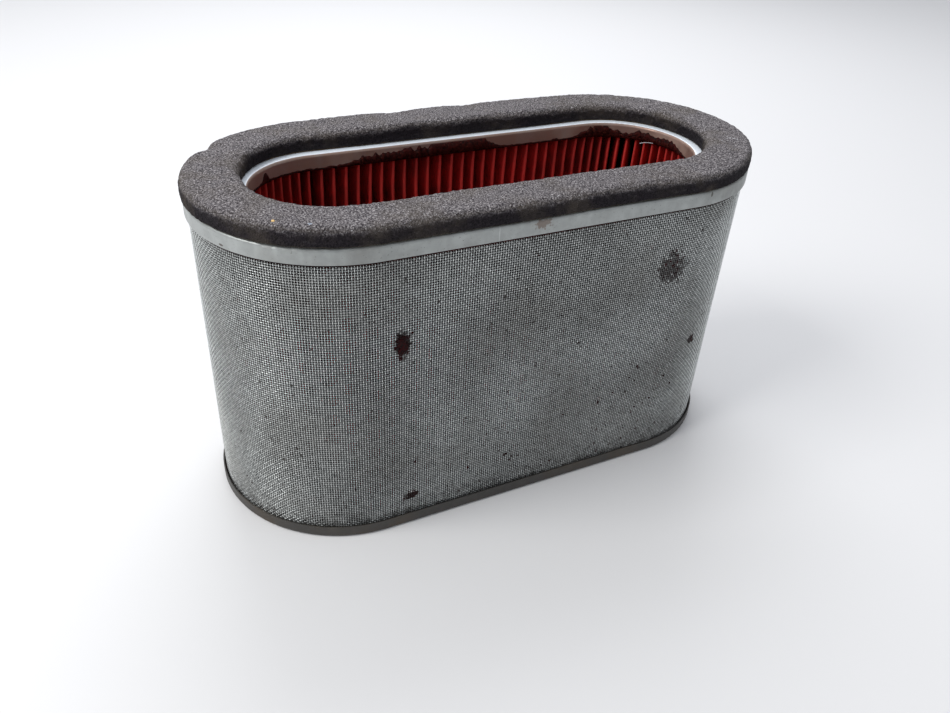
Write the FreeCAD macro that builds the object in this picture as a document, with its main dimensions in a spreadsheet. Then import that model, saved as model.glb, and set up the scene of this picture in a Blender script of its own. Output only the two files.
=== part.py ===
"""Racetrack air filter element of a motorcycle, in millimetres.

The element stands on its closed bottom cap, with +Z up, and its origin is the
centre of the bottom face. Every outline is the same racetrack, two straight
sides and two half-circles. An outline is named by its inset, the distance
inward from the outline of the caps, so all of them share two arc centres.
"""
import FreeCAD, Part
import math
import os

import Sketcher
from FreeCAD import Placement, Rotation, Vector

DIMENSIONS = {
    # The outline that the two pressed steel caps share.
    "cap_length": 234.0,
    "cap_width": 106.0,
    "cap_top": 128.0,
    "steel": 0.5,
    "bend_radius": 1.2,
    # Top cap: an upturned channel with an outer skirt and an inner collar.
    "skirt_height": 5.8,
    "flange_width": 22.5,
    # Bottom cap: a shallow closed tray.
    "tray_height": 5.2,
    # Sealant poured in the caps, which the screens and the paper stand on.
    "top_potting_depth": 2.0,
    "bottom_potting_depth": 1.6,
    "bottom_potting_width": 25.0,
    # Woven wire screen, rolled round the element and lapped at the back.
    "screen_inset": 1.1,
    "screen_thickness": 0.7,
    "lap_width": 12.0,
    "lap_thickness": 0.5,
    # Perforated core that the screen lies on.
    "core_inset": 1.9,
    "core_thickness": 0.6,
    "core_hole_diameter": 6.0,
    "core_hole_pitch": 9.0,
    "core_column_count": 74.0,
    "core_first_column": 3.6,
    "core_lowest_hole": 6.4,
    # Pleated paper pack.
    "paper_thickness": 0.5,
    "paper_outer_inset": 2.6,
    "paper_inner_inset": 21.9,
    "pleat_count": 92.0,
    "fold_width": 1.0,
    # Strip that crimps the two ends of the paper together.
    "clip_thickness": 0.4,
    "clip_depth": 6.0,
    "clip_offset": 31.0,
    # Foam gasket and the film of glue under it.
    "adhesive_thickness": 0.3,
    "adhesive_outer_inset": 1.4,
    "foam_overhang": 1.2,
    "foam_inner_inset": 18.5,
    "foam_thickness": 7.2,
    "foam_edge_radius": 2.0,
}

TOLERANCE = 1e-4

document = FreeCAD.newDocument("air_filter")
sheet = document.addObject("Spreadsheet::Sheet", "Dims")
for row, (alias, number) in enumerate(DIMENSIONS.items(), start=1):
    sheet.set(f"A{row}", alias)
    sheet.set(f"B{row}", str(number))
    sheet.setAlias(f"B{row}", alias)
document.recompute()

CENTRE_SPAN = "(Dims.cap_length - Dims.cap_width)"
POTTING_TOP = "(Dims.steel + Dims.bottom_potting_depth)"
CHANNEL_ROOF = "(Dims.cap_top - Dims.steel)"
MEDIA_HEIGHT = f"({CHANNEL_ROOF} - Dims.top_potting_depth - {POTTING_TOP})"


def value(text):
    """The number that an expression over the sheet gives."""
    return float(sheet.evalExpression(text))


def end_radius(inset):
    """The expression for the end radius of the outline at an inset."""
    return f"(Dims.cap_width / 2 - ({inset}))"


# ---------------------------------------------------------------- sketches

def racetrack(sketch, name, inset):
    """Draw and constrain one outline in a sketch."""
    half = value(CENTRE_SPAN) / 2
    radius = value(end_radius(inset))
    quarter = math.pi / 2
    up = Vector(0, 0, 1)
    first = sketch.GeometryCount
    front, right, back, left = range(first, first + 4)
    sketch.addGeometry(Part.LineSegment(Vector(-half, -radius, 0), Vector(half, -radius, 0)))
    circle = Part.Circle(Vector(half, 0, 0), up, radius)
    sketch.addGeometry(Part.ArcOfCircle(circle, -quarter, quarter))
    sketch.addGeometry(Part.LineSegment(Vector(half, radius, 0), Vector(-half, radius, 0)))
    circle = Part.Circle(Vector(-half, 0, 0), up, radius)
    sketch.addGeometry(Part.ArcOfCircle(circle, quarter, 3 * quarter))
    start, end, middle = 1, 2, 3
    for before, after in ((front, right), (right, back), (back, left), (left, front)):
        sketch.addConstraint(Sketcher.Constraint("Tangent", before, end, after, start))
    sketch.addConstraint(Sketcher.Constraint("Equal", right, left))
    sketch.addConstraint(Sketcher.Constraint("Horizontal", front))
    sketch.addConstraint(Sketcher.Constraint("Symmetric", left, middle, right, middle, -1, 1))
    span = Sketcher.Constraint("DistanceX", left, middle, right, middle, 2 * half)
    named = {f"{name}_span": (sketch.addConstraint(span), CENTRE_SPAN)}
    turn = Sketcher.Constraint("Radius", right, radius)
    named[f"{name}_radius"] = (sketch.addConstraint(turn), end_radius(inset))
    for label, (index, formula) in named.items():
        sketch.renameConstraint(index, label)
        sketch.setExpression(f"Constraints.{label}", formula)


def outline_sketch(body, name, insets, height=None):
    """A sketch of one or two outlines, parallel to the body's XY plane."""
    sketch = body.newObject("Sketcher::SketchObject", name)
    plane = next(f for f in body.Origin.OriginFeatures if f.Role == "XY_Plane")
    sketch.AttachmentSupport = [(plane, "")]
    sketch.MapMode = "FlatFace"
    if height:
        sketch.setExpression("AttachmentOffset.Base.z", height)
    for label, inset in zip(("outer", "inner"), insets):
        racetrack(sketch, label, inset)
    return sketch


def new_body(label, base):
    """A body that stands at a height given by an expression."""
    body = document.addObject("PartDesign::Body", label)
    body.Label = label
    body.setExpression("Placement.Base.z", base)
    return body


def pad(body, insets, height):
    """Pad one outline, or the ring between two, up from the body's base."""
    feature = body.newObject("PartDesign::Pad", f"{body.Label}_pad")
    feature.Profile = outline_sketch(body, f"{body.Label}_outline", insets)
    feature.setExpression("Length", height)
    document.recompute()
    return feature


def pocket_down(body, insets, depth, top):
    """Pocket an outline or a ring down from a height."""
    feature = body.newObject("PartDesign::Pocket", f"{body.Label}_pocket")
    feature.Profile = outline_sketch(body, f"{body.Label}_hollow", insets, top)
    feature.setExpression("Length", depth)
    document.recompute()
    return feature


def pocket_up(body, insets, depth):
    """Pocket an outline or a ring up from the body's base."""
    feature = body.newObject("PartDesign::Pocket", f"{body.Label}_pocket")
    feature.Profile = outline_sketch(body, f"{body.Label}_hollow", insets)
    feature.Reversed = True
    feature.setExpression("Length", depth)
    document.recompute()
    return feature


def edges_on(feature, rings):
    """Names of the edges that lie on outlines, each an inset and a height."""
    half = value(CENTRE_SPAN) / 2
    wanted = [(value(end_radius(inset)), value(height)) for inset, height in rings]
    names = []
    for number, edge in enumerate(feature.Shape.Edges, start=1):
        ends = [edge.valueAt(at) for at in edge.ParameterRange]
        for radius, height in wanted:
            gaps = [
                abs(math.hypot(max(abs(p.x) - half, 0), p.y) - radius) + abs(p.z - height)
                for p in ends
            ]
            if max(gaps) < TOLERANCE:
                names.append(f"Edge{number}")
    return names


def fillet(body, base, rings, radius):
    """Round the edges of a feature that lie on the given outlines."""
    feature = body.newObject("PartDesign::Fillet", f"{body.Label}_bend")
    feature.Base = (base, edges_on(base, rings))
    feature.setExpression("Radius", radius)
    document.recompute()
    return feature


# ------------------------------------------------------------ pressed caps

def bottom_cap():
    """Closed tray pressed from sheet, with a bend round its foot."""
    body = new_body("bottom_cap", "0")
    pad(body, ["0"], "Dims.tray_height")
    tray = pocket_down(
        body, ["Dims.steel"], "Dims.tray_height - Dims.steel", "Dims.tray_height"
    )
    bend = fillet(body, tray, [("0", "0")], "Dims.bend_radius")
    fillet(body, bend, [("Dims.steel", "Dims.steel")], "Dims.bend_radius - Dims.steel")
    return body


def top_cap():
    """Pressed ring: flat flange, outer skirt and inner collar, both down."""
    body = new_body("top_cap", "Dims.cap_top - Dims.skirt_height")
    pad(body, ["0", "Dims.flange_width"], "Dims.skirt_height")
    hollow = ["Dims.steel", "Dims.flange_width - Dims.steel"]
    channel = pocket_up(body, hollow, "Dims.skirt_height - Dims.steel")
    crown = [("0", "Dims.skirt_height"), ("Dims.flange_width", "Dims.skirt_height")]
    bend = fillet(body, channel, crown, "Dims.bend_radius")
    roof = "Dims.skirt_height - Dims.steel"
    root = [(inset, roof) for inset in hollow]
    fillet(body, bend, root, "Dims.bend_radius - Dims.steel")
    return body


# ---------------------------------------------------------- poured sealant

def bottom_potting():
    """Ring of sealant on the floor of the bottom cap."""
    body = new_body("bottom_potting", "Dims.steel")
    ring = pad(body, ["Dims.steel", "Dims.bottom_potting_width"], "Dims.bottom_potting_depth")
    fillet(body, ring, [("Dims.steel", "0")], "Dims.bend_radius - Dims.steel")
    return body


def top_potting():
    """Ring of sealant under the roof of the top cap's channel."""
    body = new_body("top_potting", f"{CHANNEL_ROOF} - Dims.top_potting_depth")
    walls = ["Dims.steel", "Dims.flange_width - Dims.steel"]
    ring = pad(body, walls, "Dims.top_potting_depth")
    roof = [(inset, "Dims.top_potting_depth") for inset in walls]
    fillet(body, ring, roof, "Dims.bend_radius - Dims.steel")
    return body


# ------------------------------------------------------------ wire screen

def outer_screen():
    """Wire cloth sleeve, with the lap where its two ends are soldered."""
    body = new_body("outer_screen", POTTING_TOP)
    inner_face = "Dims.screen_inset + Dims.screen_thickness"
    pad(body, ["Dims.screen_inset", inner_face], MEDIA_HEIGHT)
    sketch = body.newObject("Sketcher::SketchObject", "lap_outline")
    plane = next(f for f in body.Origin.OriginFeatures if f.Role == "XY_Plane")
    sketch.AttachmentSupport = [(plane, "")]
    sketch.MapMode = "FlatFace"
    half = value("Dims.lap_width / 2")
    low = value(end_radius("Dims.screen_inset + Dims.screen_thickness / 2"))
    high = value(end_radius("Dims.screen_inset - Dims.lap_thickness"))
    corners = [Vector(x, y, 0) for x, y in ((-half, low), (half, low), (half, high), (-half, high))]
    for number in range(4):
        sketch.addGeometry(Part.LineSegment(corners[number], corners[(number + 1) % 4]))
    for number in range(4):
        sketch.addConstraint(
            Sketcher.Constraint("Coincident", number, 2, (number + 1) % 4, 1)
        )
    for number, way in ((1, "Vertical"), (2, "Horizontal"), (3, "Vertical")):
        sketch.addConstraint(Sketcher.Constraint(way, number))
    sketch.addConstraint(Sketcher.Constraint("Symmetric", 0, 1, 0, 2, -2))
    bound = {
        "width": (Sketcher.Constraint("DistanceX", 0, 1, 0, 2, 2 * half), "Dims.lap_width"),
        "low": (
            Sketcher.Constraint("DistanceY", -1, 1, 0, 1, low),
            end_radius("Dims.screen_inset + Dims.screen_thickness / 2"),
        ),
        "high": (
            Sketcher.Constraint("DistanceY", -1, 1, 2, 1, high),
            end_radius("Dims.screen_inset - Dims.lap_thickness"),
        ),
    }
    for name, (constraint, formula) in bound.items():
        sketch.renameConstraint(sketch.addConstraint(constraint), name)
        sketch.setExpression(f"Constraints.{name}", formula)
    lap = body.newObject("PartDesign::Pad", "lap_pad")
    lap.Profile = sketch
    lap.setExpression("Length", MEDIA_HEIGHT)
    return body


# ------------------------------------------------- core, paper and its clip

def wire_at(radius):
    """The closed outline of a given end radius, at height zero."""
    half = value(CENTRE_SPAN) / 2
    corner = [Vector(x, y, 0) for x, y in
              ((-half, -radius), (half, -radius), (half, radius), (-half, radius))]
    return Part.Wire([
        Part.LineSegment(corner[0], corner[1]).toShape(),
        Part.Arc(corner[1], Vector(half + radius, 0, 0), corner[2]).toShape(),
        Part.LineSegment(corner[2], corner[3]).toShape(),
        Part.Arc(corner[3], Vector(-half - radius, 0, 0), corner[0]).toShape(),
    ])


def along(radius, distance):
    """Point and outward normal, a distance along an outline.

    The distance starts at the front left arc end and runs to the right.
    """
    half = value(CENTRE_SPAN) / 2
    straight = 2 * half
    arc = math.pi * radius
    distance %= 2 * (straight + arc)
    if distance < straight:
        return Vector(distance - half, -radius, 0), Vector(0, -1, 0)
    distance -= straight
    if distance < arc:
        angle, centre = distance / radius - math.pi / 2, half
    else:
        distance -= arc
        if distance < straight:
            return Vector(half - distance, radius, 0), Vector(0, 1, 0)
        angle, centre = (distance - straight) / radius + math.pi / 2, -half
    normal = Vector(math.cos(angle), math.sin(angle), 0)
    return Vector(centre, 0, 0) + normal * radius, normal


def outline_length(radius):
    """The length of the outline of a given end radius."""
    return 2 * (value(CENTRE_SPAN) + math.pi * radius)


def perforated_core():
    """Steel sleeve with round holes in staggered columns."""
    height = value(MEDIA_HEIGHT)
    thickness = value("Dims.core_thickness")
    outer = value(end_radius("Dims.core_inset"))
    face = Part.Face(wire_at(outer)).cut(Part.Face(wire_at(outer - thickness)))
    sleeve = face.extrude(Vector(0, 0, height))
    middle = outer - thickness / 2
    columns = int(value("Dims.core_column_count"))
    pitch = value("Dims.core_hole_pitch")
    hole = value("Dims.core_hole_diameter") / 2
    lowest = value("Dims.core_lowest_hole")
    step = outline_length(middle) / columns
    punches = []
    for column in range(columns):
        at, normal = along(middle, value("Dims.core_first_column") + column * step)
        level = lowest + (pitch / 2 if column % 2 else 0)
        while level < height - hole:
            base = at - normal * 2 * thickness + Vector(0, 0, level)
            punches.append(Part.makeCylinder(hole, 4 * thickness, base, normal))
            level += pitch
    part = document.addObject("Part::Feature", "perforated_core")
    part.Label = "perforated_core"
    part.Shape = sleeve.cut(punches).Solids[0]
    part.Placement = Placement(Vector(0, 0, value(POTTING_TOP)), Rotation())
    return part


def pleat_path():
    """Middle line of the folded paper, from one side of the seam to the other.

    Both ends are flaps that stand side by side in the clip. Between them, each
    pleat has two points at its outer fold and two at the next inner fold.
    """
    thickness = value("Dims.paper_thickness")
    mouth = value(end_radius("Dims.paper_inner_inset"))
    inner = mouth + thickness / 2
    outer = value(end_radius("Dims.paper_outer_inset")) - thickness / 2
    middle = (inner + outer) / 2
    length = outline_length(middle)
    count = int(value("Dims.pleat_count"))
    fold = value("Dims.fold_width / 2")
    flap = value("Dims.clip_depth")
    seam = value(f"{CENTRE_SPAN} / 2 + Dims.clip_offset")

    def place(distance, radius):
        at, normal = along(middle, distance)
        return at + normal * (radius - middle)

    points = [place(seam + thickness, mouth), place(seam + thickness, mouth + flap)]
    for pleat in range(count):
        crest = seam + (pleat + 0.5) * length / count
        points += [place(crest - fold, outer), place(crest + fold, outer)]
        valley = seam + (pleat + 1) * length / count
        if pleat < count - 1:
            points += [place(valley - fold, inner), place(valley + fold, inner)]
    points += [place(seam - thickness, mouth + flap), place(seam - thickness, mouth)]
    return points


def thicken(points, thickness):
    """The outline of a strip of even thickness along an open path."""
    sides = ([], [])
    steps = [(after - before).normalize() for before, after in zip(points, points[1:])]
    for number, point in enumerate(points):
        before = steps[max(number - 1, 0)]
        after = steps[min(number, len(steps) - 1)]
        across = Vector(-before.y - after.y, before.x + after.x, 0).normalize()
        reach = thickness / 2 / across.dot(Vector(-after.y, after.x, 0))
        sides[0].append(point + across * reach)
        sides[1].append(point - across * reach)
    return sides[0] + sides[1][::-1]


def pleated_paper():
    """Oiled paper, folded in pleats from the core to the clean-air cavity."""
    outline = thicken(pleat_path(), value("Dims.paper_thickness"))
    face = Part.Face(Part.makePolygon(outline + outline[:1]))
    part = document.addObject("Part::Feature", "pleated_paper")
    part.Label = "pleated_paper"
    part.Shape = face.extrude(Vector(0, 0, value(MEDIA_HEIGHT)))
    part.Placement = Placement(Vector(0, 0, value(POTTING_TOP)), Rotation())
    return part


def pleat_clip():
    """Channel strip pressed over the two end flaps of the paper."""
    grip = "(3 * Dims.paper_thickness)"
    front = "(Dims.paper_inner_inset - Dims.cap_width / 2)"
    sizes = {
        "clip_strip": (f"{grip} + 2 * Dims.clip_thickness", "Dims.clip_depth", "Dims.clip_thickness"),
        "clip_slot": (grip, "Dims.clip_depth", "0"),
    }
    boxes = []
    for name, (width, depth, web) in sizes.items():
        box = document.addObject("Part::Box", name)
        box.setExpression("Length", width)
        box.setExpression("Width", depth)
        box.setExpression("Height", MEDIA_HEIGHT)
        box.setExpression("Placement.Base.x", f"Dims.clip_offset - ({width}) / 2")
        box.setExpression("Placement.Base.y", f"{front} - {depth} + {web}")
        boxes.append(box)
    clip = document.addObject("Part::Cut", "pleat_clip")
    clip.Label = "pleat_clip"
    clip.Base, clip.Tool = boxes
    clip.setExpression("Placement.Base.z", POTTING_TOP)
    return clip


# ------------------------------------------------------------- foam gasket

def seal_adhesive():
    """Film of contact glue between the flange and the foam."""
    body = new_body("seal_adhesive", "Dims.cap_top")
    edges = ["Dims.adhesive_outer_inset", "Dims.foam_inner_inset"]
    pad(body, edges, "Dims.adhesive_thickness")
    return body


def foam_seal():
    """Soft foam ring that seals against the air box."""
    body = new_body("foam_seal", "Dims.cap_top + Dims.adhesive_thickness")
    edges = ["-Dims.foam_overhang", "Dims.foam_inner_inset"]
    ring = pad(body, edges, "Dims.foam_thickness")
    crown = [(inset, "Dims.foam_thickness") for inset in edges]
    fillet(body, ring, crown, "Dims.foam_edge_radius")
    return body


# ------------------------------------------------------- build and export

PIECES = (
    bottom_cap, bottom_potting, perforated_core, outer_screen, pleated_paper,
    pleat_clip, top_potting, top_cap, seal_adhesive, foam_seal,
)

parts = [make() for make in PIECES]
document.recompute()

for item in document.Objects:
    if {"Invalid", "Error"} & set(item.State):
        raise RuntimeError(f"{item.Name} failed: {item.State}")
for part in parts:
    if part.Shape.isNull() or not part.Shape.isValid():
        raise RuntimeError(f"{part.Label} has no valid shape")

os.makedirs("parts", exist_ok=True)
for part in parts:
    part.Shape.exportStep(f"parts/{part.Label}.step")
    box = part.Shape.BoundBox
    print(
        f"{part.Label}: {box.XLength:.1f} x {box.YLength:.1f} x {box.ZLength:.1f},"
        f" from z {box.ZMin:.2f}, {part.Shape.Volume / 1000:.1f} cm3,"
        f" {len(part.Shape.Solids)} solid"
    )
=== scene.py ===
import math

import bmesh
import bpy
import numpy as np
from mathutils import Matrix, Vector, noise


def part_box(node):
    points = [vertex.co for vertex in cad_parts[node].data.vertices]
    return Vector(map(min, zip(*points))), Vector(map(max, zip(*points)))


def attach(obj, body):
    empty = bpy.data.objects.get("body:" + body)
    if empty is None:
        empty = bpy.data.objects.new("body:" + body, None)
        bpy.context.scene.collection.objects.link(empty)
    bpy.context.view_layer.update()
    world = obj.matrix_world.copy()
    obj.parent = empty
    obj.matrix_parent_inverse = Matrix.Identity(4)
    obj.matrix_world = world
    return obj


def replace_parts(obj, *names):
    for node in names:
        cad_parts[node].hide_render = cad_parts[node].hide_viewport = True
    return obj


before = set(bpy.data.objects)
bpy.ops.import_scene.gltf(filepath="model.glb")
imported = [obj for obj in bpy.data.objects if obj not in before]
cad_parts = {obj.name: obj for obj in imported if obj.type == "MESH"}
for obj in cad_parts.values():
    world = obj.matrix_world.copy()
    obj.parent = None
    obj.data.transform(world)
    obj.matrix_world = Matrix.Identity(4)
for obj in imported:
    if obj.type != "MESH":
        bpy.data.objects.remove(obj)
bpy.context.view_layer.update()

# A racetrack air filter element. All lengths are metres, all outlines are
# racetracks named by their inset from the outline of the steel caps.

MM = 0.001

cap_low, cap_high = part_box("top_cap")
tray_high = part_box("bottom_cap")[1]
screen_low, screen_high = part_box("outer_screen")
paper_low, paper_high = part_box("pleated_paper")
foam_low, foam_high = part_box("foam_seal")

END_RADIUS = (cap_high[1] - cap_low[1]) / 2
HALF_SPAN = (cap_high[0] - cap_low[0]) / 2 - END_RADIUS
FLANGE_WIDTH = 22.5 * MM
FOAM_INNER_INSET = 18.5 * MM
SKIRT_FOOT = cap_low[2]
CAP_TOP = cap_high[2]
RIM_TOP = tray_high[2]

WIRE_PITCH = 0.97 * MM
WIRE_RADIUS = 0.18 * MM
SCREEN_INSET = 1.45 * MM  # of the middle of the wire cloth
PLEAT_COUNT = 100


# ------------------------------------------------------------- racetrack

def track_length(radius):
    """Length of the outline with this end radius."""
    return 4 * HALF_SPAN + 2 * math.pi * radius


def track(radius, distance):
    """Points and outward normals at distances along an outline.

    Distance runs anticlockwise from the left end of the front side.
    """
    straight, arc = 2 * HALF_SPAN, math.pi * radius
    s = np.mod(np.asarray(distance, float), 2 * (straight + arc))
    turn = np.clip((s - straight) / radius, 0, math.pi)
    turn = turn + np.clip((s - 2 * straight - arc) / radius, 0, math.pi)
    angle = turn - math.pi / 2
    normal = np.stack([np.cos(angle), np.sin(angle)], axis=-1)
    x = -HALF_SPAN + np.clip(s, 0, straight) - np.clip(s - straight - arc, 0, straight)
    centre = np.stack([np.where(turn <= 0, x, 0), np.zeros_like(x)], axis=-1)
    on_right = (s >= straight) & (s < straight + arc)
    on_back = (s >= straight + arc) & (s < 2 * straight + arc)
    centre[on_right, 0] = HALF_SPAN
    centre[on_back, 0] = x[on_back]
    centre[s >= 2 * straight + arc, 0] = -HALF_SPAN
    return centre + normal * np.expand_dims(np.broadcast_to(radius, s.shape), -1), normal


def bumps(points, size, seed):
    """Smooth noise from about -1 to 1 at points, with features of a given size."""
    shift = Vector((seed * 7.31, seed * 3.17, seed * 5.53))
    flat = np.asarray(points, float).reshape(-1, 3) / size
    values = [noise.noise(Vector(p) + shift) for p in flat]
    return np.array(values).reshape(np.asarray(points).shape[:-1])


def swell(distance, centre, width, length):
    """A smooth hump along a closed outline."""
    gap = np.mod(distance - centre + length / 2, length) - length / 2
    return np.exp(-((gap / width) ** 2))


# ---------------------------------------------------------- mesh building

def mount(name, data, finish):
    """An object made from a mesh or a curve, that rides on the element."""
    data.materials.append(finish)
    piece = bpy.data.objects.new(name, data)
    bpy.context.scene.collection.objects.link(piece)
    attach(piece, "root")
    return piece


def new_piece(name, verts, faces, finish, smooth=True, uv=None):
    """A mesh piece from arrays of corners and of faces."""
    verts = np.asarray(verts, float).reshape(-1, 3)
    faces = np.asarray(faces, int)
    mesh = bpy.data.meshes.new(name)
    mesh.vertices.add(len(verts))
    mesh.vertices.foreach_set("co", verts.ravel())
    mesh.loops.add(faces.size)
    mesh.loops.foreach_set("vertex_index", faces.ravel())
    mesh.polygons.add(len(faces))
    mesh.polygons.foreach_set("loop_start", np.arange(0, faces.size, faces.shape[1]))
    mesh.polygons.foreach_set("use_smooth", np.full(len(faces), smooth))
    if uv is not None:
        layer = mesh.uv_layers.new(name="OFBake")
        layer.uv.foreach_set("vector", np.asarray(uv)[faces.ravel()].ravel())
    mesh.update(calc_edges=True)
    mesh.validate()
    return mount(name, mesh, finish)


def lump_piece(name, body, finish):
    """A smooth piece from a bmesh, which is used up."""
    mesh = bpy.data.meshes.new(name)
    body.to_mesh(mesh)
    body.free()
    mesh.polygons.foreach_set("use_smooth", [True] * len(mesh.polygons))
    return mount(name, mesh, finish)


def grid_faces(rows, columns, close_rows, close_columns, first=0):
    """Quads over a grid of vertices, closed or open either way."""
    i = np.arange(rows if close_rows else rows - 1)
    j = np.arange(columns if close_columns else columns - 1)
    i, j = np.meshgrid(i, j, indexing="ij")
    below, beside = (i + 1) % rows, (j + 1) % columns
    quads = [i * columns + j, i * columns + beside, below * columns + beside, below * columns + j]
    return np.stack(quads, axis=-1).reshape(-1, 4) + first


# ------------------------------------------------------------- node kit

def add(tree, kind, inputs=None, **settings):
    """Add a node, with its settings and its inputs linked or set."""
    made = tree.nodes.new(kind)
    for name, value in settings.items():
        setattr(made, name, value)
    for key, value in (inputs or {}).items():
        if isinstance(value, bpy.types.NodeSocket):
            tree.links.new(value, made.inputs[key])
        else:
            made.inputs[key].default_value = value
    return made


def maths(tree, operation, first, second=0.0):
    """The result of one sum, kept between 0 and 1 for sums of masks."""
    made = add(tree, "ShaderNodeMath", {0: first, 1: second}, operation=operation)
    made.use_clamp = operation in ("ADD", "SUBTRACT", "MULTIPLY")
    return made.outputs[0]


def mixed(tree, factor, first, second):
    """A colour between two, by a mask."""
    made = tree.nodes.new("ShaderNodeMix")
    made.data_type = "RGBA"
    for key, value in ((0, factor), (6, first), (7, second)):
        if isinstance(value, bpy.types.NodeSocket):
            tree.links.new(value, made.inputs[key])
        elif key:
            made.inputs[key].default_value = (*value, 1)
        else:
            made.inputs[key].default_value = value
    return made.outputs[2]


def ranged(tree, value, low, high, to_low=0.0, to_high=1.0):
    """Spread a value between two limits, smoothly."""
    inputs = {"Value": value, "From Min": low, "From Max": high, "To Min": to_low, "To Max": to_high}
    made = add(tree, "ShaderNodeMapRange", inputs, interpolation_type="SMOOTHSTEP")
    return made.outputs[0]


def place(tree):
    """Where on the object a point lies."""
    return tree.nodes.new("ShaderNodeTexCoord").outputs["Object"]


def group(name, inputs, outputs):
    """An empty node group with named sockets, and its two end nodes."""
    tree = bpy.data.node_groups.new(name, "ShaderNodeTree")
    for label, (kind, default) in inputs.items():
        socket = tree.interface.new_socket(label, in_out="INPUT", socket_type=f"NodeSocket{kind}")
        socket.default_value = default
    for label, kind in outputs.items():
        tree.interface.new_socket(label, in_out="OUTPUT", socket_type=f"NodeSocket{kind}")
    return tree, tree.nodes.new("NodeGroupInput"), tree.nodes.new("NodeGroupOutput")


def use(tree, shared, inputs=None):
    """Place a shared group in a material with its own values."""
    made = tree.nodes.new("ShaderNodeGroup")
    made.node_tree = shared
    for key, value in (inputs or {}).items():
        if isinstance(value, bpy.types.NodeSocket):
            tree.links.new(value, made.inputs[key])
        else:
            made.inputs[key].default_value = value
    return made.outputs


def mottle_group():
    """Uneven patches of a given size, from 0 to 1."""
    tree, start, end = group(
        "mottle",
        {"Scale": ("Float", 100.0), "Detail": ("Float", 4.0), "Low": ("Float", 0.4), "High": ("Float", 0.6),
         "Stretch": ("Vector", (1.0, 1.0, 1.0))},
        {"Mask": "Float"},
    )
    stretch = {0: place(tree), 1: start.outputs["Stretch"]}
    spread = add(tree, "ShaderNodeVectorMath", stretch, operation="MULTIPLY")
    cloud = add(tree, "ShaderNodeTexNoise", {
        "Vector": spread.outputs[0], "Scale": start.outputs["Scale"], "Detail": start.outputs["Detail"],
        "Roughness": 0.6,
    })
    mask = ranged(tree, cloud.outputs[0], start.outputs["Low"], start.outputs["High"])
    tree.links.new(mask, end.inputs["Mask"])
    return tree


def stain_group():
    """A ragged patch round a centre, 1 inside and 0 outside."""
    tree, start, end = group(
        "stain",
        {"Centre": ("Vector", (0.0, 0.0, 0.0)), "Size": ("Vector", (0.003, 0.003, 0.003)),
         "Ragged": ("Float", 0.6), "Grain": ("Float", 900.0)},
        {"Mask": "Float"},
    )
    here = place(tree)
    away = add(tree, "ShaderNodeVectorMath", {0: here, 1: start.outputs["Centre"]}, operation="SUBTRACT")
    by_size = {0: away.outputs[0], 1: start.outputs["Size"]}
    scaled = add(tree, "ShaderNodeVectorMath", by_size, operation="DIVIDE")
    reach = add(tree, "ShaderNodeVectorMath", {0: scaled.outputs[0]}, operation="LENGTH")
    cloud = add(tree, "ShaderNodeTexNoise", {"Vector": here, "Scale": start.outputs["Grain"], "Detail": 3.0})
    shift = add(tree, "ShaderNodeMath", {0: cloud.outputs[0], 1: 0.5}, operation="SUBTRACT")
    by_ragged = {0: shift.outputs[0], 1: start.outputs["Ragged"]}
    push = add(tree, "ShaderNodeMath", by_ragged, operation="MULTIPLY")
    edge = add(tree, "ShaderNodeMath", {0: reach.outputs["Value"], 1: push.outputs[0]}, operation="ADD")
    tree.links.new(ranged(tree, edge.outputs[0], 1.0, 0.7), end.inputs["Mask"])
    return tree


def low_dirt_group():
    """Dirt that gathers below a height, in uneven patches."""
    tree, start, end = group(
        "low_dirt",
        {"Height": ("Float", 0.01), "Fade": ("Float", 0.01), "Scale": ("Float", 60.0)},
        {"Mask": "Float"},
    )
    here = place(tree)
    height = add(tree, "ShaderNodeSeparateXYZ", {0: here}).outputs["Z"]
    cloud = add(tree, "ShaderNodeTexNoise", {"Vector": here, "Scale": start.outputs["Scale"], "Detail": 5.0})
    top = add(tree, "ShaderNodeMath", {0: start.outputs["Height"], 1: start.outputs["Fade"]}, operation="ADD")
    fall = ranged(tree, height, top.outputs[0], start.outputs["Height"])
    patch = ranged(tree, cloud.outputs[0], 0.42, 0.6)
    tree.links.new(maths(tree, "MULTIPLY", fall, patch), end.inputs["Mask"])
    return tree


def inset_group():
    """How far a point lies inside the outline of the caps, in metres."""
    tree, start, end = group("inset", {}, {"Inset": "Float"})
    axes = add(tree, "ShaderNodeSeparateXYZ", {0: place(tree)}).outputs
    along_x = add(tree, "ShaderNodeMath", {0: axes["X"]}, operation="ABSOLUTE")
    beyond = add(tree, "ShaderNodeMath", {0: along_x.outputs[0], 1: HALF_SPAN}, operation="SUBTRACT")
    past = add(tree, "ShaderNodeMath", {0: beyond.outputs[0], 1: 0.0}, operation="MAXIMUM")
    offset = add(tree, "ShaderNodeCombineXYZ", {"X": past.outputs[0], "Y": axes["Y"]})
    reach = add(tree, "ShaderNodeVectorMath", {0: offset.outputs[0]}, operation="LENGTH")
    inset = add(tree, "ShaderNodeMath", {0: END_RADIUS, 1: reach.outputs["Value"]}, operation="SUBTRACT")
    tree.links.new(inset.outputs[0], end.inputs["Inset"])
    return tree


MOTTLE = mottle_group()
INSET = inset_group()
STAIN = stain_group()
LOW_DIRT = low_dirt_group()


def material(name):
    """A new node material, its tree and its Principled shader."""
    made = bpy.data.materials.new(name)
    made.use_nodes = True
    return made, made.node_tree, made.node_tree.nodes["Principled BSDF"]


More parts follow.
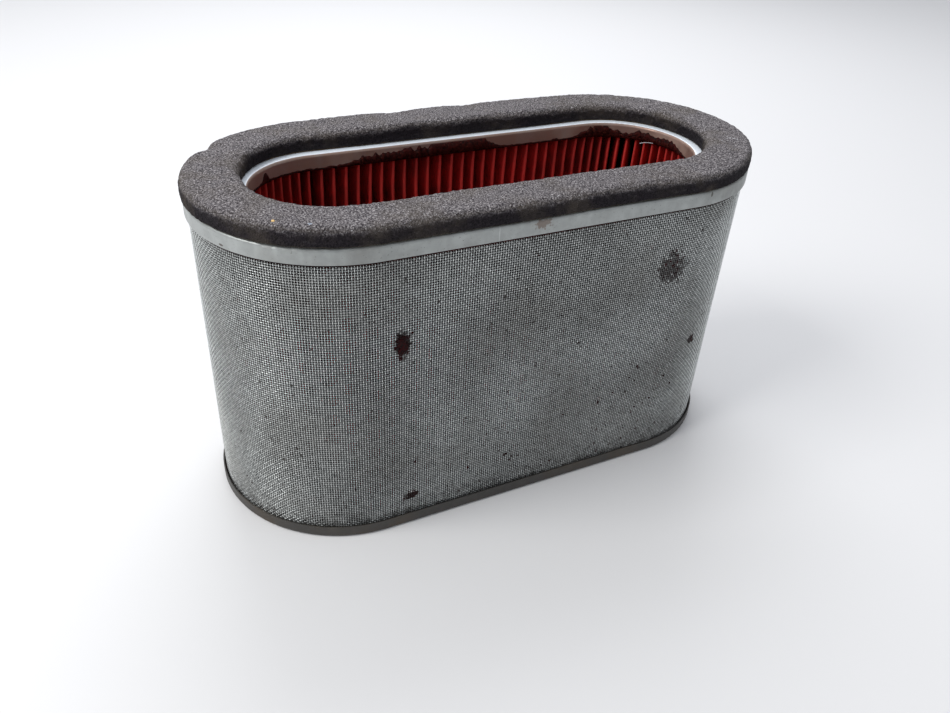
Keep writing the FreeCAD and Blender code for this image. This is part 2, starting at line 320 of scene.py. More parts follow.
def connect(tree, shader, colour=None, roughness=None, metallic=None, height=None, bump=None):
    """Feed a shader, with a bump of (strength, distance) from a height."""
    for key, socket in (("Base Color", colour), ("Roughness", roughness), ("Metallic", metallic)):
        if socket is not None:
            tree.links.new(socket, shader.inputs[key])
    if height is not None:
        relief = add(tree, "ShaderNodeBump", {"Strength": bump[0], "Distance": bump[1], "Height": height})
        tree.links.new(relief.outputs[0], shader.inputs["Normal"])


# ------------------------------------------------------------- materials

def mottle(tree, scale, low=0.4, high=0.6, detail=4.0, stretch=(1, 1, 1)):
    """The mask of the shared mottle group."""
    values = {"Scale": scale, "Low": low, "High": high, "Detail": detail, "Stretch": stretch}
    return use(tree, MOTTLE, values)["Mask"]


def stain(tree, centre, size, ragged=0.6, grain=900.0):
    """The mask of the shared stain group."""
    values = {"Centre": centre, "Size": size, "Ragged": ragged, "Grain": grain}
    return use(tree, STAIN, values)["Mask"]


BAND_FACE = -END_RADIUS
DIRT = (0.10, 0.075, 0.05)
GRIT = (0.06, 0.045, 0.03)

# Marks on the top cap's skirt: centre, size, colour, raggedness, strength.
SKIRT_MARKS = (
    ((-0.0054, BAND_FACE, 0.1262), (0.0036, 0.002, 0.0018), (0.13, 0.07, 0.04), 2.6, 0.6),
    ((-0.1103, -0.0257, 0.1232), (0.0012, 0.0012, 0.0005), (0.05, 0.03, 0.02), 0.8, 0.8),
    ((0.0700, -0.0526, 0.1265), (0.0006, 0.0012, 0.0012), (0.06, 0.05, 0.04), 0.8, 0.8),
    ((-0.0224, BAND_FACE, 0.125), (0.00025, 0.002, 0.004), (0.72, 0.75, 0.74), 0.2, 0.3),
)


def cap_zones(tree, colour, rough, metal, grit):
    """Clean the top cap's bare inner flange, and brown its collar wall: a painted warm reflection of the red
    paper.
    """
    inset = use(tree, INSET)["Inset"]
    height = add(tree, "ShaderNodeSeparateXYZ", {0: place(tree)}).outputs["Z"]
    flat = ranged(tree, height, CAP_TOP - 0.25 * MM, CAP_TOP - 0.08 * MM)
    clean = maths(tree, "MULTIPLY", flat, ranged(tree, inset, 16 * MM, 17 * MM))
    bend = ranged(tree, inset, FLANGE_WIDTH - 1.2 * MM, FLANGE_WIDTH - 0.6 * MM)
    wall = maths(tree, "SUBTRACT", bend, clean)
    # The brown on the collar wall is a painted warm reflection of the red paper, made uneven by a mottle.
    film = mottle(tree, 90, 0.3, 0.6, 5.0, (1.0, 1.0, 0.4))
    brown = maths(tree, "MULTIPLY", wall, ranged(tree, film, 0, 1, 0.8, 0.97))
    colour = mixed(tree, brown, colour, (0.31, 0.205, 0.165))
    colour = mixed(tree, clean, colour, mixed(tree, grit, (0.82, 0.88, 0.95), (0.5, 0.5, 0.5)))
    rough = ranged(tree, clean, 0.0, 1.0, rough, 0.35)
    metal = ranged(tree, clean, 0.0, 1.0, metal, 0.0)
    return colour, rough, metal


def zinc(name, tone, dirt, top_cap=False, roughness=0.42, metallic=0.55):
    """Dull zinc-plated sheet with spangle, smears and brown dirt."""
    made, tree, shader = material(name)
    light = tuple(min(1.0, 1.18 * c) for c in tone)
    spangle = mottle(tree, 260, 0.3, 0.7, 2.0)
    streak = mottle(tree, 180, 0.35, 0.7, 3.0, (1.0, 1.0, 0.06))
    colour = mixed(tree, spangle, tone, light)
    colour = mixed(tree, maths(tree, "MULTIPLY", streak, 0.35), colour, tuple(0.8 * c for c in tone))
    grime = mottle(tree, 45, 0.46, 0.72, 8.0)
    colour = mixed(tree, maths(tree, "MULTIPLY", grime, dirt), colour, DIRT)
    grit = mottle(tree, 1500, 0.66, 0.72, 2.0)
    colour = mixed(tree, maths(tree, "MULTIPLY", grit, 0.5), colour, GRIT)
    rough = ranged(tree, grime, 0.0, 1.0, roughness, 0.75)
    metal = ranged(tree, grime, 0.0, 1.0, metallic, 0.1)
    if top_cap:
        for centre, size, paint, ragged, strength in SKIRT_MARKS:
            mask = maths(tree, "MULTIPLY", stain(tree, centre, size, ragged), strength)
            colour = mixed(tree, mask, colour, paint)
        colour, rough, metal = cap_zones(tree, colour, rough, metal, grit)
    relief = maths(tree, "ADD", maths(tree, "MULTIPLY", spangle, 0.5), maths(tree, "MULTIPLY", grit, 0.5))
    connect(tree, shader, colour, rough, metal, relief, (0.15, 0.0001))
    return made


def wire_metal(name, dull, bright):
    """Galvanised wire, bright where it passes over and darkened by painted shade where it dips."""
    made, tree, shader = material(name)
    fine = mottle(tree, 700, 0.35, 0.65, 2.0)
    colour = mixed(tree, fine, dull, bright)
    # Painted shade where the wire dips under the crossing wire.
    dip_shade = ranged(tree, use(tree, INSET)["Inset"], SCREEN_INSET - 0.20 * MM, SCREEN_INSET - 0.04 * MM)
    colour = mixed(tree, maths(tree, "MULTIPLY", dip_shade, 0.82), colour, (0.030, 0.028, 0.025))
    cloud = mottle(tree, 24, 0.42, 0.66, 6.0)
    colour = mixed(tree, maths(tree, "MULTIPLY", cloud, 0.3), colour, (0.20, 0.185, 0.165))
    specks = mottle(tree, 420, 0.67, 0.71, 3.0)
    colour = mixed(tree, maths(tree, "MULTIPLY", specks, 0.85), colour, (0.03, 0.015, 0.012))
    low = use(tree, LOW_DIRT, {"Height": 0.003, "Fade": 0.014, "Scale": 420.0})["Mask"]
    colour = mixed(tree, maths(tree, "MULTIPLY", low, 0.6), colour, (0.035, 0.028, 0.024))
    patches = (
        ((-0.0573, -0.052, 0.0875), (0.0035, 0.006, 0.0065), 1.0, 1.4),
        ((0.0583, -0.052, 0.0964), (0.007, 0.006, 0.0075), 0.75, 2.6),
        ((0.0795, -0.0495, 0.0555), (0.0022, 0.004, 0.0026), 0.9, 1.2),
        ((-0.0532, -0.052, 0.0139), (0.0035, 0.006, 0.002), 0.95, 2.0),
    )
    for centre, size, strength, ragged in patches:
        mask = maths(tree, "MULTIPLY", stain(tree, centre, size, ragged, 500.0), strength)
        colour = mixed(tree, mask, colour, (0.022, 0.008, 0.007))
    rough = ranged(tree, cloud, 0.0, 1.0, 0.32, 0.6)
    metal = ranged(tree, cloud, 0.0, 1.0, 0.7, 0.4)
    connect(tree, shader, colour, rough, metal, fine, (0.2, 0.00005))
    return made


def oiled_paper():
    """Deep red oiled paper, with a painted highlight on its inner folds, and near black towards the screen
    with painted red glints.
    """
    made, tree, shader = material("oiled_paper")
    fibre = mottle(tree, 1400, 0.3, 0.7, 5.0, (1.0, 1.0, 0.35))
    patch = mottle(tree, 70, 0.4, 0.65, 6.0)
    colour = mixed(tree, fibre, (0.44, 0.013, 0.013), (0.64, 0.028, 0.025))
    colour = mixed(tree, maths(tree, "MULTIPLY", patch, 0.6), colour, (0.11, 0.006, 0.006))
    inset = use(tree, INSET)["Inset"]
    # A painted highlight along the inner fold edges.
    fold = ranged(tree, inset, FLANGE_WIDTH - 1.9 * MM, FLANGE_WIDTH - 1.1 * MM)
    colour = mixed(tree, maths(tree, "MULTIPLY", fold, 0.5), colour, (0.56, 0.040, 0.030))
    # Near black towards the screen, behind the core, with painted red glints.
    deep = ranged(tree, inset, 14 * MM, 5 * MM)
    red_glints = mottle(tree, 260, 0.58, 0.68, 2.0)
    near_black_and_glints = mixed(tree, red_glints, (0.006, 0.002, 0.002), (0.13, 0.014, 0.010))
    colour = mixed(tree, deep, colour, near_black_and_glints)
    dust = mottle(tree, 2200, 0.68, 0.74, 2.0)
    colour = mixed(tree, maths(tree, "MULTIPLY", dust, 0.35), colour, (0.42, 0.16, 0.12))
    connect(tree, shader, colour, ranged(tree, fibre, 0, 1, 0.5, 0.7), None, fibre, (0.35, 0.0001))
    return made


def sealant():
    """Dark red-brown glue, glossy in places and crusted with grit."""
    made, tree, shader = material("set_sealant")
    lumps = mottle(tree, 800, 0.3, 0.7, 5.0)
    colour = mixed(tree, lumps, (0.005, 0.001, 0.001), (0.046, 0.005, 0.004))
    crust = mottle(tree, 1700, 0.6, 0.7, 3.0)
    colour = mixed(tree, maths(tree, "MULTIPLY", crust, 0.35), colour, (0.24, 0.07, 0.035))
    shader.inputs["Specular IOR Level"].default_value = 0.08
    connect(tree, shader, colour, ranged(tree, lumps, 0, 1, 0.35, 0.7), None, lumps, (0.6, 0.0004))
    return made


def dried_glue():
    """Brown film of contact glue."""
    made, tree, shader = material("dried_glue")
    lumps = mottle(tree, 500, 0.3, 0.7, 5.0)
    colour = mixed(tree, lumps, (0.06, 0.03, 0.013), (0.16, 0.09, 0.04))
    connect(tree, shader, colour, ranged(tree, lumps, 0, 1, 0.5, 0.8), None, lumps, (0.5, 0.0003))
    return made


def open_foam():
    """Open-cell foam: dark cells with lighter strands, much lighter on faces that point up, with painted
    glints on top.
    """
    made, tree, shader = material("open_cell_foam")
    here = place(tree)
    cells = add(tree, "ShaderNodeTexVoronoi", {"Vector": here, "Scale": 1150.0}).outputs["Distance"]
    pits = ranged(tree, cells, 0.15, 0.62)
    strands = mottle(tree, 1750, 0.38, 0.62, 3.0)
    facing = add(tree, "ShaderNodeSeparateXYZ", {0: add(tree, "ShaderNodeNewGeometry").outputs["Normal"]})
    # Much lighter on faces that point up, near black on the sides.
    upward = ranged(tree, facing.outputs["Z"], 0.0, 1.0)
    dark = mixed(tree, strands, (0.004, 0.004, 0.005), (0.022, 0.018, 0.021))
    top_tone = mixed(tree, strands, (0.055, 0.050, 0.056), (0.47, 0.44, 0.45))
    colour = mixed(tree, upward, dark, top_tone)
    colour = mixed(tree, maths(tree, "MULTIPLY", pits, 0.55), colour, (0.022, 0.018, 0.022))
    patch = mottle(tree, 55, 0.45, 0.7, 5.0)
    colour = mixed(tree, maths(tree, "MULTIPLY", patch, 0.35), colour, (0.115, 0.096, 0.072))
    edge = ranged(tree, maths(tree, "ABSOLUTE", facing.outputs["Z"]), 0.25, 0.6)
    rim = maths(tree, "MULTIPLY", maths(tree, "SUBTRACT", edge, upward), 0.5)
    colour = mixed(tree, rim, colour, (0.10, 0.082, 0.055))
    # Painted glints: bright specks on faces that point up.
    painted_glints = mottle(tree, 1900, 0.70, 0.74, 1.0)
    painted_glints = maths(tree, "MULTIPLY", maths(tree, "MULTIPLY", painted_glints, upward), 0.8)
    colour = mixed(tree, painted_glints, colour, (0.75, 0.74, 0.78))
    shader.inputs["Roughness"].default_value = 0.95
    shader.inputs["Specular IOR Level"].default_value = 0.15
    relief = maths(tree, "ADD", maths(tree, "MULTIPLY", pits, 0.6), maths(tree, "MULTIPLY", strands, 0.4))
    flipped = maths(tree, "SUBTRACT", 1.0, relief)
    connect(tree, shader, colour, None, None, flipped, (0.8, 0.0006))
    return made


def plain_bits(name, low, high):
    """A crumb or fibre of one colour family."""
    made, tree, shader = material(name)
    colour = mixed(tree, mottle(tree, 1200), low, high)
    connect(tree, shader, colour, height=mottle(tree, 2500), bump=(0.4, 0.0001))
    return made


MATERIALS = {
    "top_cap": zinc("zinc_top_cap", (0.335, 0.352, 0.345), 0.25, top_cap=True),
    "bottom_cap": zinc("zinc_bottom_cap", (0.052, 0.049, 0.045), 0.5, roughness=0.5, metallic=0.3),
    "perforated_core": zinc("zinc_core", (0.090, 0.093, 0.092), 0.5, metallic=0.2),
    "pleat_clip": zinc("zinc_clip", (0.30, 0.32, 0.32), 0.3),
    "top_potting": sealant(),
    "seal_adhesive": dried_glue(),
}
MATERIALS["bottom_potting"] = MATERIALS["top_potting"]
# The level wires are a darker copy of the upright wire: painted shade.
UPRIGHT_WIRE = wire_metal("upright_wire", (0.62, 0.65, 0.64), (0.92, 0.95, 0.94))
SHADED_LEVEL_WIRE = wire_metal("shaded_level_wire", (0.44, 0.46, 0.455), (0.74, 0.77, 0.76))
PAPER = oiled_paper()
FOAM = open_foam()

for node_name, finish in MATERIALS.items():
    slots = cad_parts[node_name].data.materials
    slots.clear()
    slots.append(finish)


# ------------------------------------------------------------ wire screen

def wire_mesh(name, centres, outward, sideways, closed, finish):
    """One mesh of many four-sided wires, with one ring at each crossing."""
    count, rings = centres.shape[:2]
    corners = np.stack([
        centres + outward * WIRE_RADIUS, centres + sideways * WIRE_RADIUS,
        centres - outward * WIRE_RADIUS, centres - sideways * WIRE_RADIUS,
    ], axis=2)
    faces = grid_faces(rings, 4, closed, True)
    every = (faces[None] + np.arange(count)[:, None, None] * rings * 4).reshape(-1, 4)
    if not closed:
        caps = np.array([[3, 2, 1, 0], [rings * 4 - 4, rings * 4 - 3, rings * 4 - 2, rings * 4 - 1]])
        ends = (caps[None] + np.arange(count)[:, None, None] * rings * 4).reshape(-1, 4)
        every = np.concatenate([every, ends])
    column = np.repeat(np.arange(count), rings * 4) / count
    row = np.tile(np.repeat(np.arange(rings), 4), count) / rings
    side = np.tile(np.arange(4), rings * count) / (5 * count)
    uv = np.stack([column + side, row * 0.98], axis=-1)
    return new_piece(name, corners, every, finish, uv=uv)


def woven_screen():
    """Plain weave: every wire passes over one and under the next."""
    radius = END_RADIUS - SCREEN_INSET
    length = track_length(radius)
    warp_count = 2 * round(length / WIRE_PITCH / 2)
    low, high = screen_low[2] + 0.4 * MM, screen_high[2] - 0.4 * MM
    weft_count = int((high - low) / WIRE_PITCH)
    distance = np.arange(warp_count) * length / warp_count
    height = low + (np.arange(weft_count) + 0.5) * WIRE_PITCH
    point, normal = track(radius, distance)
    wander = 0.12 * MM * np.sin(distance[:, None] * 61 + height[None] * 23)
    cloth = np.stack(np.broadcast_arrays(point[:, None, 0], point[:, None, 1], height[None]), axis=-1)
    dents = 0.06 * MM * bumps(cloth, 0.03, 3)
    sign = (-1.0) ** (np.arange(warp_count)[:, None] + np.arange(weft_count)[None])
    tangent = np.stack([-normal[:, 1], normal[:, 0]], axis=-1)

    def lay(side):
        push = side * sign * WIRE_RADIUS + np.clip(dents, -1, 0.2 * MM)
        flat = point[:, None] + normal[:, None] * push[..., None] + tangent[:, None] * wander[..., None]
        level = np.broadcast_to(height[None], sign.shape) + 0.4 * wander
        return np.concatenate([flat, level[..., None]], axis=-1)

    up = np.array([0.0, 0.0, 1.0])
    outward = np.concatenate([normal, np.zeros((warp_count, 1))], axis=-1)
    across = np.concatenate([tangent, np.zeros((warp_count, 1))], axis=-1)
    pieces = []
    warp, weft = lay(1), lay(-1)
    for number, part in enumerate(np.array_split(np.arange(warp_count), 4)):
        facing = outward[part][:, None] + np.zeros_like(warp[part])
        beside = across[part][:, None] + np.zeros_like(warp[part])
        pieces.append(wire_mesh(f"screen_upright_wires_{number + 1}", warp[part], facing, beside, False,
                                UPRIGHT_WIRE))
    for number, part in enumerate(np.array_split(np.arange(weft_count), 4)):
        ring = weft[:, part].transpose(1, 0, 2)
        facing = outward[None] + np.zeros_like(ring)
        pieces.append(wire_mesh(f"screen_level_wires_{number + 1}", ring, facing, up + np.zeros_like(ring),
                                True, SHADED_LEVEL_WIRE))
    return pieces


screen_pieces = woven_screen()
for screen_piece in screen_pieces:
    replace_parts(screen_piece, "outer_screen")


# ------------------------------------------------------------ paper pleats

def pleat_stations(count):
    """Where the pleats lie, as shares of the outline, unevenly spaced."""
    steps = np.ones(count)
    place_along = (np.arange(count) + 0.5) / count
    steps += 0.03 * np.sin(2 * math.pi * (place_along - 0.36))
    steps += np.array([0.07 * noise.noise(Vector((k * 1.7, 4.2, 0.3))) for k in range(count)])
    return np.cumsum(steps) / steps.sum()


def pleats():
    """Zigzag paper with soft folds, slightly wavy from top to bottom."""
    thickness = 0.4 * MM
    outer = END_RADIUS - 2.9 * MM
    inner = END_RADIUS - FLANGE_WIDTH + 0.6 * MM + thickness
    middle = (outer + inner) / 2
    length = track_length(middle)
    stations = pleat_stations(PLEAT_COUNT)
    bend = 0.42 * MM
    turns = np.linspace(-math.pi / 2, math.pi / 2, 5)
    path, depth = [], []
    for k in range(PLEAT_COUNT):
        here = stations[k - 1] * length if k else (stations[-1] - 1) * length
        gap = stations[k] * length - here
        wobble = 0.35 * MM * noise.noise(Vector((k * 0.9, 1.1, 0)))
        path += [here + bend * math.sin(t) for t in turns]
        depth += [inner + bend * (1 - math.cos(t)) + abs(wobble) for t in turns]
        path += [here + gap / 2 + bend * math.sin(t) for t in turns]
        depth += [outer - bend * (1 - math.cos(t)) for t in turns]
    path, depth = np.array(path), np.array(depth)
    levels = np.linspace(paper_low[2], paper_high[2], 25)
    base, normal = track(middle, path)
    tangent = np.stack([-normal[:, 1], normal[:, 0]], axis=-1)
    at = base[None] + normal[None] * (depth - middle)[None, :, None]
    sway = np.stack(np.broadcast_arrays(base[None, :, 0], base[None, :, 1], levels[:, None]), axis=-1)
    at = at + tangent[None] * (0.55 * MM * bumps(sway, 0.021, 5))[..., None]
    ahead, behind = np.roll(at, -1, axis=1), np.roll(at, 1, axis=1)
    run = ahead - behind
    run /= np.linalg.norm(run, axis=-1, keepdims=True)
    side = np.stack([-run[..., 1], run[..., 0]], axis=-1) * thickness / 2
    sheets = []
    for way in (1, -1):
        level = np.broadcast_to(levels[:, None, None], at.shape[:2] + (1,))
        sheets.append(np.concatenate([at + way * side, level], axis=-1))
    rows, columns = at.shape[:2]
    count = rows * columns
    front = grid_faces(rows, columns, False, True)
    back = grid_faces(rows, columns, False, True, count)[:, ::-1]
    j = np.arange(columns)
    k = (j + 1) % columns
    foot = np.stack([k, j, j + count, k + count], axis=-1)
    crown = (rows - 1) * columns + np.stack([j, k, k + count, j + count], axis=-1)
    return new_piece("paper_pleats", np.stack(sheets), np.concatenate([front, back, foot, crown]),
                     PAPER, smooth=False)


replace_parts(pleats(), "pleated_paper")


# ------------------------------------------------------------- foam gasket

def foam_section(half_wide, half_tall, count):
    """A slab section with soft top edges, and its outward normals."""
    top, foot = 3.4 * MM, 0.5 * MM
    corners = ((1, -1, foot, -90), (1, 1, top, 0), (-1, 1, top, 90), (-1, -1, foot, 180))
    path = []
    for side, level, radius, start in corners:
        for angle in np.radians(start + np.linspace(0, 90, 13)):
            path.append((side * (half_wide - radius) + radius * math.cos(angle),
                         level * (half_tall - radius) + radius * math.sin(angle)))
    path = np.array(path + path[:1])
    reach = np.concatenate([[0], np.cumsum(np.linalg.norm(np.diff(path, axis=0), axis=1))])
    even = np.arange(count) * reach[-1] / count
    x, z = (np.interp(even, reach, path[:, k]) for k in (0, 1))
    run = np.stack([np.roll(x, -1) - np.roll(x, 1), np.roll(z, -1) - np.roll(z, 1)], axis=-1)
    run /= np.linalg.norm(run, axis=-1, keepdims=True)
    return x / half_wide, z / half_tall, np.stack([run[:, 1], -run[:, 0]], axis=-1)


def foam_ring():
    """Soft foam ring with worn, uneven edges and an open-cell surface."""
    radius = END_RADIUS - 8.6 * MM
    length = track_length(radius)
    along_count, across_count = 900, 96
    foot = foam_low[2]
    outer_edge = foam_high[1] - radius
    inner_edge = radius - (END_RADIUS - FOAM_INNER_INSET)
    thick = foam_high[2] - foam_low[2]
    half_wide, half_tall = (outer_edge + inner_edge) / 2, thick / 2
    s = np.arange(along_count) * length / along_count
    wide, tall, section_normal = foam_section(half_wide, half_tall, across_count)
    point, normal = track(radius, s)
    ring = np.concatenate([point, np.zeros((along_count, 1))], axis=-1)
    slow_outer, slow_inner = bumps(ring, 0.035, 1), bumps(ring, 0.03, 2)
    slow_top = bumps(ring, 0.05, 4)
    back = 3 * HALF_SPAN + math.pi * radius
    notch = swell(s, back + HALF_SPAN + 0.25 * math.pi * radius + 4 * MM, 4 * MM, length)
    dips = swell(s, back - 0.013, 6 * MM, length) * 0.5 + swell(s, back + 0.021, 8 * MM, length) * 0.7
    outer_pull = -0.9 * MM + 0.9 * MM * slow_outer - 2.0 * MM * notch - 1.2 * MM * dips
    left_end = 4 * HALF_SPAN + 1.5 * math.pi * radius
    inner_pull = 0.8 * MM + 0.8 * MM * slow_inner + 1.6 * MM * swell(s, left_end, 26 * MM, length)
    reach = (outer_edge - inner_edge) / 2 + wide[None] * half_wide
    shift = np.where(wide[None] > 0, outer_pull[:, None] * wide, inner_pull[:, None] * wide)
    lift = half_tall + tall[None] * half_tall
    torn = 1.0 * MM * (notch + dips)[:, None] * (tall[None] > 0.3) * wide
    lift = lift * (1 - 0.07 * (slow_top[:, None] + 0.6)) - torn
    flat = point[:, None] + normal[:, None] * (reach + shift)[..., None]
    verts = np.concatenate([flat, (foot + np.clip(lift, 0, thick))[..., None]], axis=-1)
    grain = 0.22 * MM * bumps(verts, 0.0017, 6) + 0.16 * MM * bumps(verts, 0.0009, 7)
    out = np.stack([
        normal[:, None, 0] * section_normal[:, 0], normal[:, None, 1] * section_normal[:, 0],
        np.broadcast_to(section_normal[:, 1], (along_count, across_count)),
    ], axis=-1)
    verts = verts + out * grain[..., None]
    verts[..., 2] = np.clip(verts[..., 2], foot, foam_high[2])
    ring_faces = grid_faces(along_count, across_count, True, True)
    return new_piece("foam_ring", verts, ring_faces[:, ::-1], FOAM)


foam = foam_ring()
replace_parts(foam, "foam_seal")


# ---------------------------------------------------------- sealant ooze

def ooze(name, radius, facing, foot, reach, height_of, thick_of):
    """A lumpy run of sealant that clings to a wall along an outline.

    facing is 1 on an outer wall and -1 on an inner one. The two functions
    give its height and thickness at distances along the outline.
    """
    length = track_length(radius)
    steps = round(length / (0.45 * MM))
    s = np.arange(steps) * length / steps
    point, normal = track(radius, s)
    tall, thick = height_of(s, length), thick_of(s, length)
    around = np.linspace(0, 2 * math.pi, 13)[:-1]
    up = 0.5 - 0.5 * np.cos(around)
    outward = np.maximum(np.sin(around), -0.15)
    rise = foot + reach * tall[:, None] * up[None]
    push = facing * thick[:, None] * outward[None]
    flat = point[:, None] + normal[:, None] * push[..., None]
    verts = np.concatenate([flat, rise[..., None]], axis=-1)
    rough = 0.25 * MM * bumps(verts, 0.0013, 9) * np.clip(tall, 0, 1)[:, None]
    verts[..., :2] += normal[:, None] * (facing * np.abs(rough))[..., None]
    faces = grid_faces(len(s), len(around), True, True)
    return new_piece(name, verts, faces, MATERIALS["top_potting"])


def collar_height(s, length):
    """Low all round, with a tall smear at the back and one at the right."""
    level = np.array([noise.noise(Vector((v * 220, 2.0, 0))) for v in s])
    fine = np.array([noise.noise(Vector((v * 520, 5.0, 0))) for v in s])
    radius = END_RADIUS - FLANGE_WIDTH
    back_left = 4 * HALF_SPAN + math.pi * radius
    tall = 0.14 + 0.16 * np.clip(level, 0, 1) + 0.10 * np.clip(fine, 0, 1)
    smears = (
        (-0.072, 0.009, 1.25), (-0.058, 0.009, 1.0), (-0.042, 0.009, 0.75), (-0.026, 0.009, 0.6),
        (0.021, 0.0016, 0.75), (0.041, 0.006, 0.45),
        (-2 * HALF_SPAN - 0.008, 0.008, 1.1), (-2 * HALF_SPAN - 0.030, 0.010, 0.7),
        (-2 * HALF_SPAN - 0.044, 0.006, 0.55),
    )
    for offset, width, size in smears:
        tall += size * swell(s, back_left + offset, width, length) * (0.85 + 0.35 * fine + 0.25 * level)
    return np.clip(tall, 0.05, 0.98)


def collar_thickness(s, length):
    """Thicker where it stands higher."""
    return 0.25 * MM + 1.0 * MM * np.clip(collar_height(s, length) - 0.15, 0, 1)


def skirt_height(s, length):
    """A thin line of sealant that shows only along part of the front."""
    front = HALF_SPAN - 0.013
    fine = np.array([noise.noise(Vector((v * 500, 8.0, 0))) for v in s])
    run = swell(s, front, 0.034, length) ** 0.4
    return np.clip(0.15 + 0.85 * run * (0.8 + 0.5 * fine), 0.05, 1)


def skirt_thickness(s, length):
    """As thick as the gap between the skirt and the screen."""
    return 0.2 * MM + 0.85 * MM * skirt_height(s, length)


ooze("collar_ooze", END_RADIUS - FLANGE_WIDTH, -1, SKIRT_FOOT - 0.7 * MM, 5.4 * MM,
     collar_height, collar_thickness)
ooze("skirt_ooze", END_RADIUS - 1.0 * MM, 1, SKIRT_FOOT - 0.85 * MM, 1.2 * MM,
     skirt_height, skirt_thickness)


# ------------------------------------------------------------ small bits

def fibre(name, points, thickness, finish, slot):
    """A thin bent fibre or thread."""
    curve = bpy.data.curves.new(name, "CURVE")
    curve.dimensions = "3D"
    curve.bevel_depth = thickness / 2
    curve.bevel_resolution = 2
    spline = curve.splines.new("NURBS")
    spline.points.add(len(points) - 1)
    for target, point in zip(spline.points, points):
        target.co = (*point, 1)
    spline.order_u = 3
    spline.use_endpoint_u = True
    return mount(name, curve, finish)


def crumb(name, centre, size, finish, seed):
    """A small irregular lump."""
    body = bmesh.new()
    bmesh.ops.create_icosphere(body, subdivisions=3, radius=1.0)
    for vert in body.verts:
        vert.co *= 1 + 0.5 * noise.noise(vert.co * 1.6 + Vector((seed, 0, 0)))
        vert.co = Vector(centre) + Vector([c * s for c, s in zip(vert.co, size)])
    return lump_piece(name, body, finish)


def grit(name, spots, finish, slot):
    """Many small lumps caught in the screen, as one mesh.

    Each spot is a distance along the screen, a height, a width and a height
    of its own.
    """
    body = bmesh.new()
    radius = END_RADIUS - SCREEN_INSET
    for number, (distance, height, wide, tall) in enumerate(spots):
        point, normal = (values[0] for values in track(radius, [distance]))
        tangent = (-normal[1], normal[0])
        lump = bmesh.ops.create_icosphere(body, subdivisions=2, radius=1.0)["verts"]
        for vert in lump:
            ragged = 1 + 0.75 * noise.noise(vert.co * 1.9 + Vector((number * 3.1, 0, 0)))
            across, out, up = vert.co.x * wide * ragged, vert.co.y * 0.32 * MM, vert.co.z * tall * ragged
            vert.co = (
                point[0] + tangent[0] * across + normal[0] * out,
                point[1] + tangent[1] * across + normal[1] * out,
                height + up,
            )
    return lump_piece(name, body, finish)


def scattered(seed, count, centre, spread, low, high):
    """Random small spots round a centre, the same in every run."""
    draw = np.random.default_rng(seed)
    spots = []
    for _ in range(count):
        distance = centre[0] + spread[0] * draw.normal()
        height = centre[1] + spread[1] * draw.normal()
        height = min(max(RIM_TOP + 0.3 * MM, height), SKIRT_FOOT - 1.0 * MM)
        size = low + (high - low) * draw.random() ** 3
        spots.append((distance, height, size, size * (0.7 + 0.9 * draw.random())))
    return spots


def tar():
    """Sticky dark dirt with a red tinge."""
    made, tree, shader = material("clogged_dirt")
    lumps = mottle(tree, 1300, 0.35, 0.65, 3.0)
    colour = mixed(tree, lumps, (0.005, 0.002, 0.002), (0.032, 0.004, 0.005))
    shader.inputs["Specular IOR Level"].default_value = 0.1
    connect(tree, shader, colour, ranged(tree, lumps, 0, 1, 0.55, 0.8), None, lumps, (0.5, 0.0002))
    return made


TAR = tar()
FRONT_ZERO = HALF_SPAN  # distance along the outline to the middle of the front
blotch = [(FRONT_ZERO + x * MM, z * MM, w * MM, t * MM) for x, z, w, t in (
    (-57.6, 88.6, 1.9, 2.6), (-56.9, 86.2, 1.7, 2.4), (-58.2, 84.2, 1.1, 2.0), (-58.0, 81.6, 0.6, 1.3),
    (-55.4, 90.3, 1.0, 0.8), (-53.8, 91.6, 0.8, 0.6), (-60.0, 86.4, 0.6, 0.9), (-55.2, 83.9, 0.6, 1.0),
)]
grit("screen_clot", blotch, TAR, "sealant")
loose = scattered(11, 46, (FRONT_ZERO + 0.058, 0.0964), (0.0042, 0.0050), 0.25 * MM, 0.95 * MM)
loose += scattered(12, 90, (FRONT_ZERO + 0.005, 0.016), (0.045, 0.010), 0.22 * MM, 0.8 * MM)
loose += scattered(13, 50, (FRONT_ZERO + 0.045, 0.030), (0.020, 0.013), 0.22 * MM, 0.8 * MM)
loose += scattered(14, 12, (FRONT_ZERO + 0.0815, 0.0555), (0.0008, 0.0016), 0.3 * MM, 0.8 * MM)
loose += scattered(15, 14, (FRONT_ZERO - 0.0532, 0.0139), (0.0022, 0.0010), 0.3 * MM, 0.9 * MM)
loose += scattered(16, 120, (3 * HALF_SPAN + 0.16, 0.020), (0.070, 0.016), 0.22 * MM, 0.7 * MM)
loose += scattered(17, 60, (FRONT_ZERO, 0.065), (0.07, 0.03), 0.18 * MM, 0.45 * MM)
grit("screen_grit", loose, TAR, "sealant")

YELLOW = plain_bits("yellow_crumb", (0.55, 0.30, 0.07), (0.75, 0.50, 0.18))
PALE = plain_bits("pale_fibre", (0.45, 0.45, 0.47), (0.75, 0.75, 0.78))
BLUISH = plain_bits("bluish_crumb", (0.10, 0.13, 0.18), (0.40, 0.45, 0.53))
FOAM_TOP = foam_high[2] - 0.55 * MM

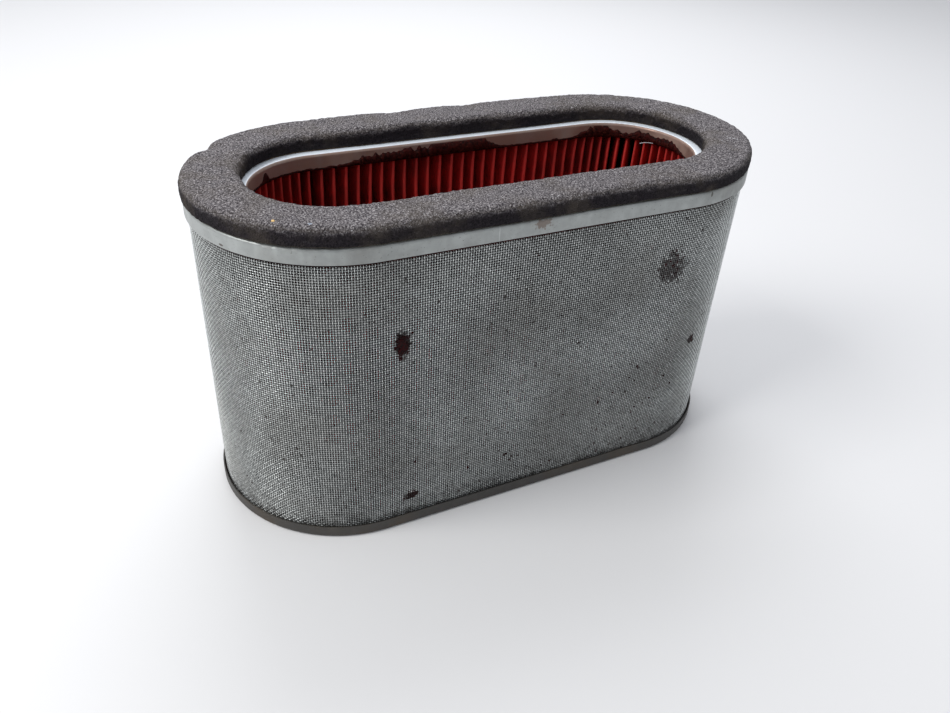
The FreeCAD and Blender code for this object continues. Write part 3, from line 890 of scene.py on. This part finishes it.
crumb("yellow_crumb", (-0.0957, -0.039, FOAM_TOP), (1.3 * MM, 0.9 * MM, 0.5 * MM), YELLOW, 1.0)
crumb("pale_crumb", (-0.0857, -0.0449, FOAM_TOP), (1.0 * MM, 0.8 * MM, 0.4 * MM), BLUISH, 5.0)
fibre("foam_fibre", [(0.0985, -0.0246, FOAM_TOP), (0.1003, -0.0220, FOAM_TOP + 0.2 * MM),
                     (0.1030, -0.0228, FOAM_TOP + 0.2 * MM), (0.1044, -0.0252, FOAM_TOP)],
      0.35 * MM, PALE, "foam")
fibre("collar_fibre", [(0.0865, 0.0165, 0.1212), (0.0892, 0.0150, 0.1222), (0.0920, 0.0122, 0.1218)],
      0.3 * MM, PALE, "oiled_paper")


# --------------------------------------------------- floor, lamps, camera

def pale_floor():
    """Plain white floor that keeps the element's shadow."""
    made, tree, shader = material("pale_floor")
    shader.inputs["Base Color"].default_value = (0.78, 0.78, 0.785, 1)
    shader.inputs["Roughness"].default_value = 0.55
    bpy.ops.mesh.primitive_plane_add(size=12, location=(0, 0, -0.1 * MM))
    floor = bpy.context.object
    floor.name = "floor"
    floor.data.materials.append(made)


def lamp(name, where, size, power, tint=(1, 1, 1)):
    """A soft square lamp that faces the element."""
    data = bpy.data.lights.new(name, "AREA")
    data.size = size
    data.energy = power
    data.color = tint
    made = bpy.data.objects.new(name, data)
    made.location = where
    aim = Vector((0, 0, 0.06)) - Vector(where)
    made.rotation_euler = aim.to_track_quat("-Z", "Y").to_euler()
    bpy.context.scene.collection.objects.link(made)


def studio():
    """Soft light from the left and from behind, and an even pale surrounding."""
    world = bpy.data.worlds.new("pale_room")
    bpy.context.scene.world = world
    world.use_nodes = True
    shade = world.node_tree.nodes["Background"]
    shade.inputs["Color"].default_value = (0.93, 0.95, 1.0, 1)
    shade.inputs["Strength"].default_value = 0.58
    lamp("back_lamp", (0.30, 0.80, 0.95), 0.9, 8.0, (0.97, 0.98, 1.0))
    lamp("left_lamp", (-0.90, 0.00, 0.95), 0.6, 10.5, (1.0, 0.99, 0.97))


def camera():
    """A hand-held view from the front left, a little rolled."""
    azimuth, elevation, roll = (math.radians(a) for a in (-28.089, 34.081, 3.598))
    focus = Vector((-7.0, -11.84, 44.6)) * MM
    distance = 359.6 * MM
    lens_pixels, frame_width, sensor = 816.46, 950, 36.0
    back = Vector((
        math.sin(azimuth) * math.cos(elevation), -math.cos(azimuth) * math.cos(elevation), math.sin(elevation)
    ))
    data = bpy.data.cameras.new("camera")
    data.sensor_width = sensor
    data.lens = lens_pixels / frame_width * sensor
    data.clip_start = 0.01
    made = bpy.data.objects.new("camera", data)
    made.location = focus + back * distance
    turn = back.to_track_quat("Z", "Y").to_matrix().to_4x4()
    made.rotation_euler = (turn @ Matrix.Rotation(roll, 4, "Z")).to_euler()
    bpy.context.scene.collection.objects.link(made)
    bpy.context.scene.camera = made


pale_floor()
studio()
camera()
bpy.context.scene.view_settings.view_transform = "Standard"
